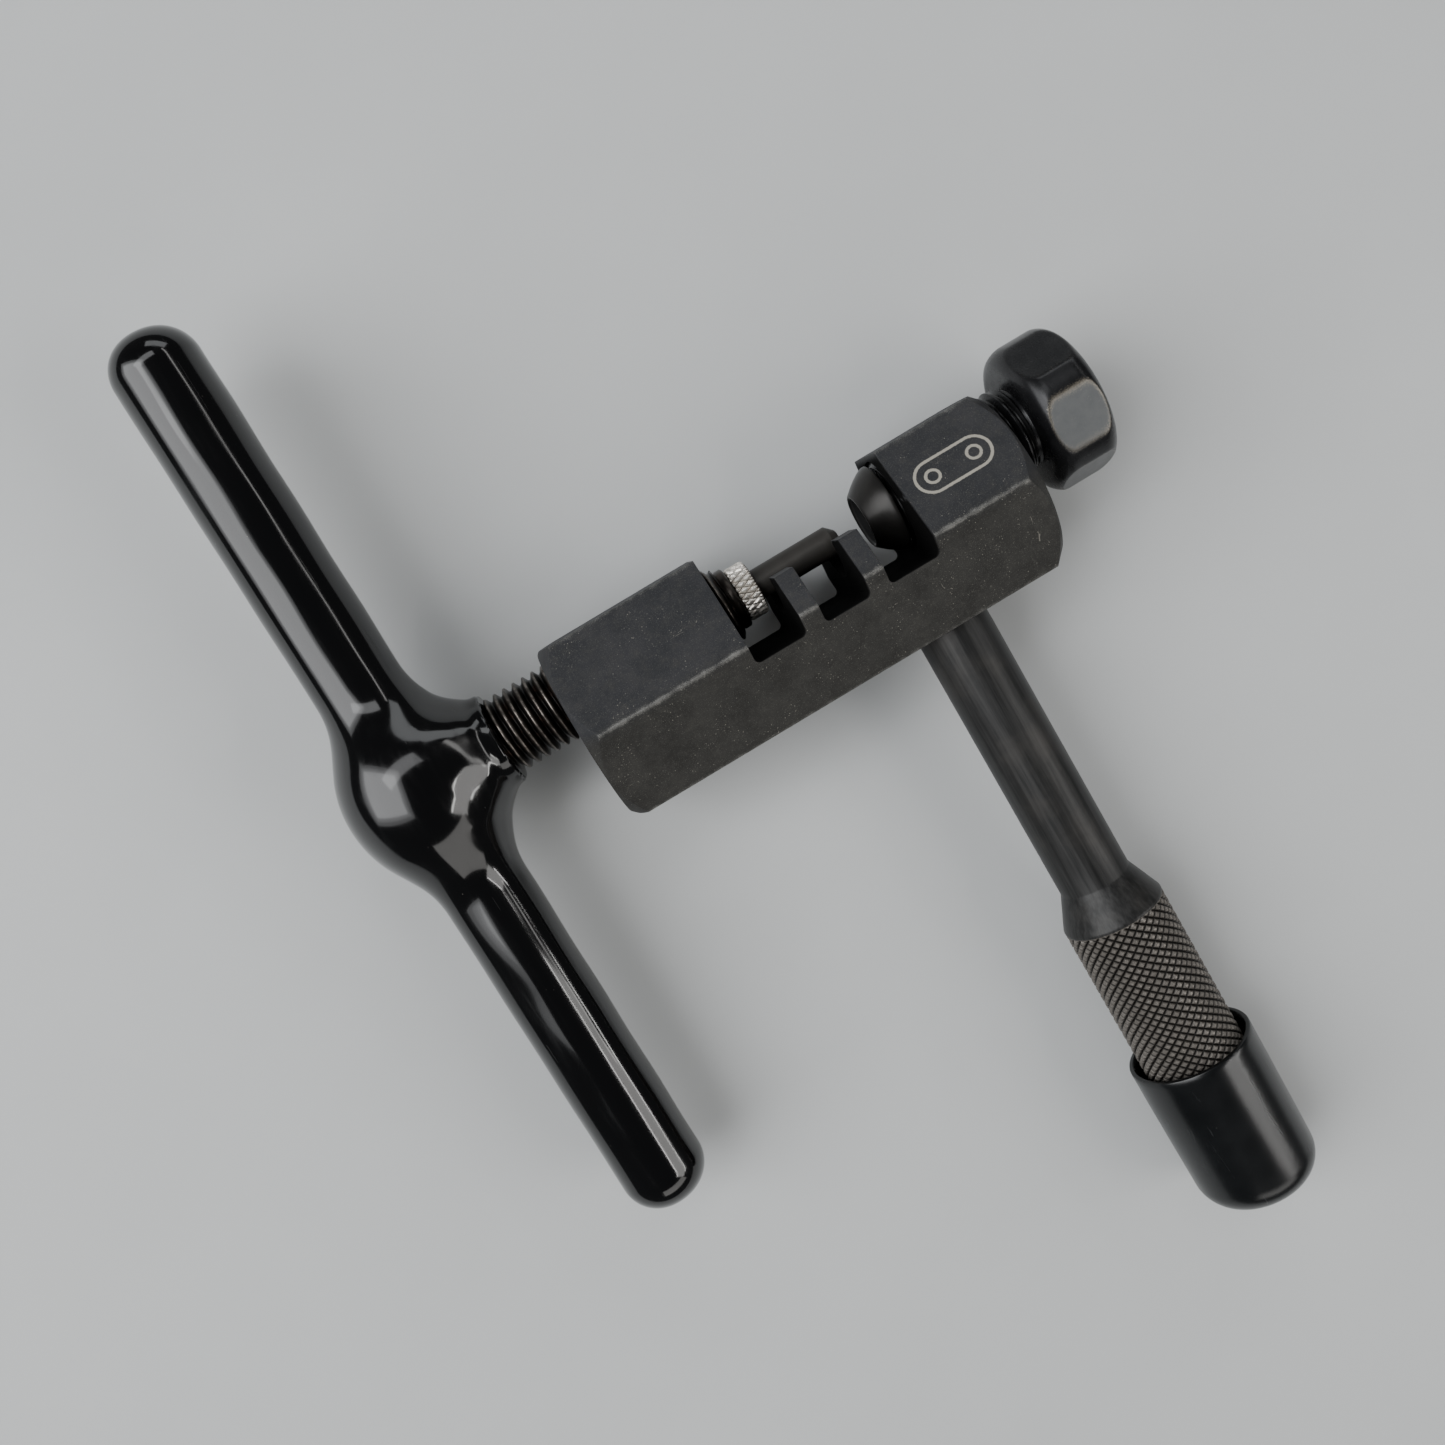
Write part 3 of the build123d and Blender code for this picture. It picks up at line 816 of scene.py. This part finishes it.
def build_pin():
    shank = 1.6 * MM
    chamfer = 0.9 * MM
    neck = pin_lo.x + 0.95 * MM
    rows = [
        (pin_lo.x, 0.2 * MM),
        (pin_lo.x, 2.0 * MM),
        (pin_lo.x + 0.1 * MM, 2.1 * MM),
        (neck - 0.1 * MM, 2.1 * MM),
        (neck - 0.05 * MM, shank),
    ]
    tip_start = pin_hi.x - chamfer
    rows += [(neck + (tip_start - neck) * k / 12, shank) for k in range(13)]
    rows += [(tip_start + 0.06 * MM, shank - 0.03 * MM)]
    rows += [(pin_hi.x - 0.06 * MM, shank - chamfer + 0.10 * MM), (pin_hi.x, shank - chamfer)]
    rows += [(pin_hi.x, 0.1 * MM)]
    obj = turned("drive_pin", rows, 64, along_x)
    sharpen(obj, 30)
    return dress(obj, "pin", "push_pin", dark_pin_finish())


HEAD_LENGTH = 7.0 * MM
HEAD_BARREL_R = 8.05 * MM  # over the rounded corners
HEAD_END_R = 1.9 * MM
HEAD_FLAT_R = 7.5 * MM  # from the axis to a flat
FLAT_ANGLE = 42  # degrees about X from +Y to the middle of a flat
FLAT_PAINTED_LIGHT = (0.05, 1.0, 0.45, 0.15, 0.5, 0.3)  # painted light: how much each of the head's flats is painted grey, most on the flat facing the light


def build_bolt():
    crest = 4.9 * MM
    depth = 0.66 * MM
    root = crest - depth
    length = HEAD_LENGTH
    head_x = bolt_hi.x - length
    barrel, end_r = HEAD_BARREL_R, HEAD_END_R
    seat_r = 3.05 * MM
    seat_depth = cup_hi.x + 0.2 * MM - bolt_lo.x
    thread_end = head_x - 0.3 * MM
    thread = threaded_rod("bolt_thread", bolt_lo.x, thread_end, crest, depth, 0.55 * MM, seat_r, seat_depth)
    neck_rows = [(thread_end - 0.4 * MM, 3.2 * MM), (thread_end - 0.4 * MM, root - 0.03 * MM)]
    neck_rows += [(head_x - 0.15 * MM, root - 0.03 * MM), (head_x + 0.4 * MM, root + 0.35 * MM)]
    neck_rows += [(head_x + 0.4 * MM, 3.2 * MM)]
    neck = turned("bolt_neck", neck_rows, 72, along_x)

    # the head's side: a barrel with rounded ends, cut by six flats
    rows = [(head_x, 0.6 * MM)]
    steps = 16
    for k in range(steps + 1):
        angle = pi / 2 * k / steps
        rows.append((head_x + end_r * (1 - cos(angle)), barrel - end_r + end_r * sin(angle)))
    straight = length - 2 * end_r
    rows += [(head_x + end_r + straight * k / 26, barrel) for k in range(1, 26)]
    rows += [(2 * head_x + length - x, r) for x, r in rows[steps + 1 :: -1]]

    def flat_radius(turn):
        flat_middle = radians(FLAT_ANGLE)
        away = (turn - flat_middle + pi / 6) % (pi / 3) - pi / 6
        return HEAD_FLAT_R / np.cos(away)

    def flats(along, radius, turn):
        cut = smooth_min(radius, flat_radius(turn), 0.10 * MM)
        return np.where(radius > 3 * MM, cut - radius, 0)

    head = turned("bolt_head", rows, 360, along_x, height=flats)
    obj = joined("hex_head_bolt", head, thread, neck)
    points = coordinates(obj)
    radius = radius_about_x(points)
    on_head = (points[:, 0] >= head_x) & (radius > crest)
    high = np.clip((radius - root) / depth, 0, 1)
    set_attribute(obj, "cavity", np.where(points[:, 0] > thread_end, 1.0, high))
    from_end = np.minimum(points[:, 0] - head_x, bolt_hi.x - points[:, 0])
    rise = np.clip(end_r - from_end, 0, end_r)
    profile = barrel - end_r + np.sqrt(np.maximum(end_r**2 - rise**2, 0))
    spare = (profile - flat_radius(np.arctan2(points[:, 2], points[:, 1]))) / MM
    # painted light: each flat takes its own weight from the table above, lightest on the flat facing the
    # light; the rubbed rims are also stronger there
    turn = np.degrees(np.arctan2(points[:, 2], points[:, 1])) - FLAT_ANGLE + 30
    handled = np.array(FLAT_PAINTED_LIGHT)[(turn // 60).astype(int) % 6]
    set_attribute(obj, "flat", np.where(on_head, np.clip(spare / 0.12, 0, 1) * handled, 0))
    rim = np.exp(-(((spare - 0.06) / 0.24) ** 2)) * (0.45 + 0.55 * handled)
    set_attribute(obj, "wear", np.where(on_head, rim, 0))
    sharpen(obj, 40)
    return dress(obj, "anvil", "anvil_bolt", bolt_finish())


def build_cup():
    nose, base = 3.0 * MM, 4.75 * MM
    hole = 2.5 * MM
    start, end = cup_lo.x, cup_hi.x
    cone = 2.6 * MM
    back = start + 2.95 * MM
    rows = [
        (start + 5.0 * MM, 0.1 * MM),
        (start + 5.0 * MM, hole),
        (start + 0.30 * MM, hole),
        (start + 0.08 * MM, hole + 0.16 * MM),
        (start, hole + 0.26 * MM),
        (start, nose - 0.10 * MM),
        (start + 0.06 * MM, nose),
    ]
    # the cone swells slightly between its nose and its base
    for k in range(1, 12):
        t = k / 12
        bulge = 0.16 * MM * sin(pi * t)
        rows.append((start + 0.06 * MM + (cone - 0.1 * MM) * t, nose + (base - nose) * t + bulge))
    rows += [
        (start + cone, base - 0.02 * MM),
        (start + cone + 0.06 * MM, base),
        (back - 0.06 * MM, base),
        (back, base - 0.06 * MM),
        (back, nose),
        (end, nose),
        (end, 0.4 * MM),
    ]
    obj = turned("anvil_cup_nose", rows, 96, along_x)
    sharpen(obj, 30)
    return dress(obj, "cup", "anvil_cup", cup_finish())


def build_lever():
    stud_end = lever_hi.y
    face = body_lo.y
    stud_r, rod_r, grip_r = 2.98 * MM, 7.85 / 2 * MM, 5.6 * MM
    cone_start = face - 31.5 * MM
    grip_start = cone_start - 3.9 * MM
    grip_end = lever_lo.y
    around, lead, depth = 28, 1.0 * MM, 0.28 * MM
    step = lead / 10
    tight = 0.05 * MM
    rows = [(stud_end, 0.5 * MM), (stud_end, 2.6 * MM), (stud_end - 0.4 * MM, stud_r)]
    rows += [(face - 0.02 * MM, stud_r), (face - 0.02 * MM, rod_r - 0.12 * MM), (face - 0.14 * MM, rod_r)]
    rows += [(face - (face - cone_start) * k / 10, rod_r) for k in range(1, 10)]
    # close rows either side of the cone's two edges keep them crisp
    slope = (grip_r - rod_r) / (cone_start - grip_start)
    rows += [(cone_start + tight, rod_r), (cone_start - tight, rod_r + slope * tight)]
    for t in (0.25, 0.5, 0.75):
        rows.append((cone_start - (cone_start - grip_start) * t, rod_r + (grip_r - rod_r) * t))
    rows += [(grip_start + tight, grip_r - slope * tight), (grip_start - tight, grip_r)]
    knurl_start = grip_start - 0.25 * MM
    count = int((knurl_start - grip_end - 1.2 * MM) / step)
    rows += [(knurl_start - step * k, grip_r - depth) for k in range(count + 1)]
    rows += [(grip_end + 1.0 * MM, grip_r - depth), (grip_end, grip_r - 1.0 * MM), (grip_end, 0.5 * MM)]

    def relief(along, radius, turn):
        knurl = (along <= knurl_start) & (along >= knurl_start - step * count - 1e-9)
        fade = np.clip((knurl_start - along) / (0.3 * MM), 0, 1)
        full = diamond(along - knurl_start, turn, around, lead, depth)
        return np.where(knurl, depth + (full - depth) * fade, 0)

    obj = turned("knurled_lever", rows, around * 10, along_lever, height=relief)
    points = coordinates(obj)
    radius = np.hypot(points[:, 0] - lever_x, points[:, 2])
    set_attribute(obj, "cavity", np.clip((radius - grip_r + depth) / depth, 0, 1))
    set_attribute(obj, "knurled", np.clip((knurl_start - points[:, 1]) / (0.1 * MM), 0, 1))
    sharpen(obj, 28)
    return dress(obj, "tool", "side_lever", lever_finish())


def build_cap():
    mouth, end = cap_hi.y, cap_lo.y
    outer = (cap_hi.x - cap_lo.x) / 2
    bore = 5.66 * MM
    end_r = 3.2 * MM
    dome = 0.45 * MM
    floor = lever_lo.y - 0.3 * MM
    rows = [(floor, 0.1 * MM), (floor, bore), (mouth - 2.4 * MM, bore)]
    rows += [(mouth - 1.9 * MM, bore + 0.18 * MM), (mouth - 0.6 * MM, bore + 0.56 * MM)]
    rows += [(mouth - 0.12 * MM, bore + 0.70 * MM), (mouth, bore + 0.84 * MM)]
    rows += [(mouth, outer - 0.20 * MM), (mouth - 0.04 * MM, outer - 0.06 * MM)]
    rows += [(mouth - 0.14 * MM, outer - 0.01 * MM)]
    rows += [(mouth - 0.7 * MM, outer), (mouth - 1.6 * MM, outer - 0.03 * MM)]
    side_end = end + dome + end_r
    side = outer - 0.18 * MM
    start = mouth - 1.6 * MM
    for k in range(1, 9):
        rows.append((start + (side_end - start) * k / 8, outer - (0.03 + 0.15 * k / 8) * MM))
    for k in range(1, 13):
        angle = pi / 2 * k / 12
        along = side_end - end_r * sin(angle) - dome * 0.25 * k / 12
        rows.append((along, side - end_r + end_r * cos(angle)))
    flat_r = side - end_r
    for k in range(1, 7):
        t = 1 - k / 7
        rows.append((end + dome * 0.75 * t**2, flat_r * t))

    def uneven(along, radius, turn):
        lip = np.exp(-(((along - mouth) / (2.5 * MM)) ** 2))
        outside = radius > bore + 0.4 * MM
        return np.where(outside, -0.05 * MM * lip * (1 + np.cos(2 * turn + 0.7)) / 2, 0)

    obj = turned("rubber_cap", rows, 128, along_lever, height=uneven)
    sharpen(obj, 40)
    return dress(obj, "cap", "lever_cap", rubber_finish())


def dress_bar():
    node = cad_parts["handle_bar"]
    node.data.materials.clear()
    node.data.materials.append(bar_finish())


# ---------------------------------------------------------------- set


def floor_and_light():
    """A pale floor, tipped so that it meets the bar's lower edge and the lever's cap, and soft lamps."""
    edge = Vector((0, bar_centre_y, body_lo.z))
    cap_r = (cap_hi.z - cap_lo.z) / 2
    reach = edge.y - (cap_lo.y + 9 * MM)
    slope = atan2(-edge.z - cap_r, reach)
    mesh = bpy.data.meshes.new("floor")
    half = 1.6
    corners = [(-half, -half, 0), (half, -half, 0), (half, half, 0), (-half, half, 0)]
    mesh.from_pydata(corners, [], [(0, 1, 2, 3)])
    floor = bpy.data.objects.new("floor", mesh)
    bpy.context.scene.collection.objects.link(floor)
    floor.matrix_world = Matrix.Translation(edge) @ Matrix.Rotation(-slope, 4, "X")
    n = Nodes("pale_floor")
    shade = n.noise(0.02, 5.0, 0.6)
    fine = n.noise(0.7, 4.0, 0.6)
    colour = n.tint(shade, (0.47, 0.48, 0.48), (0.55, 0.56, 0.56))
    floor.data.materials.append(n.finish(colour, n.blend(fine, 0.5, 0.62), 0.0))

    def lamp(name, place, size, power, colour=(1, 1, 1), target=(0, 0, 0)):
        light = bpy.data.lights.new(name, "AREA")
        light.shape = "RECTANGLE"
        light.size, light.size_y = size
        light.energy = power
        light.color = colour
        holder = bpy.data.objects.new(name, light)
        bpy.context.scene.collection.objects.link(holder)
        aim = Vector(target) - Vector(place)
        holder.location = place
        holder.rotation_euler = aim.to_track_quat("-Z", "Y").to_euler()

    # a wide high window beyond the driver's end, with fading edges and a dimmer strip running on from it;
    # a smaller window past the lever, with a bright pane above and below it; and a dim lamp at each side
    for spread, share in ((0.78, 0.45), (0.92, 0.30), (1.08, 0.25)):
        window = (0.78 * spread, 0.92 * spread)
        lamp("window", (-0.62, 0.19, 0.62), window, 14.0 * share, (0.97, 0.985, 1.0), (-0.02, 0, 0))
    lamp("window_tail", (-0.12, 0.46, 0.84), (0.95, 0.24), 1.7, (0.97, 0.985, 1.0))
    lamp("lever_window", (0.62, -0.48, 0.66), (0.52, 0.34), 2.0, (1.0, 0.99, 0.97))
    lamp("upper_pane", (0.50, -0.40, 0.80), (0.46, 0.035), 0.85, (1.0, 0.99, 0.97))
    lamp("lower_pane", (0.79, -0.42, 0.50), (0.46, 0.030), 0.75, (1.0, 0.99, 0.97))
    lamp("low_window", (0.76, 0.12, 0.64), (1.0, 0.06), 0.7, (1.0, 0.99, 0.97))
    lamp("lever_side", (0.05, -0.80, 0.50), (0.9, 0.30), 1.5, (1.0, 0.98, 0.95))
    lamp("mouth_side", (0.46, 0.80, 0.42), (0.7, 0.28), 1.2, (0.95, 0.98, 1.0))
    world = bpy.data.worlds.new("room")
    world.use_nodes = True
    background = world.node_tree.nodes["Background"]
    background.inputs["Color"].default_value = (0.80, 0.82, 0.84, 1)
    background.inputs["Strength"].default_value = 0.10
    bpy.context.scene.world = world


# where the photograph was taken from, in mm from the origin, and its axes
VIEW_LENGTH = 0.9613  # focal length over the frame's width
VIEW_PLACE = (-21.94, 8.24, 141.16)
VIEW_RIGHT = (0.8576, -0.5077, 0.0825)
VIEW_BACK = (-0.0182, 0.1303, 0.9913)


def camera():
    """A phone held over the tool, leaning in from the mouth's side, turned in its own plane."""
    lens = bpy.data.cameras.new("camera")
    lens.sensor_width = 36
    lens.lens = 36 * VIEW_LENGTH
    lens.clip_start = 0.01
    holder = bpy.data.objects.new("camera", lens)
    bpy.context.scene.collection.objects.link(holder)
    right = Vector(VIEW_RIGHT).normalized()
    back = Vector(VIEW_BACK).normalized()
    up = back.cross(right).normalized()
    right = up.cross(back)
    turn = Matrix((right, up, back)).transposed().to_4x4()
    holder.matrix_world = Matrix.Translation(Vector(VIEW_PLACE) * MM) @ turn
    bpy.context.scene.camera = holder


build_body()
build_driver()
build_coating()
build_collar()
build_pin()
build_bolt()
build_cup()
build_lever()
build_cap()
dress_bar()
floor_and_light()
camera()
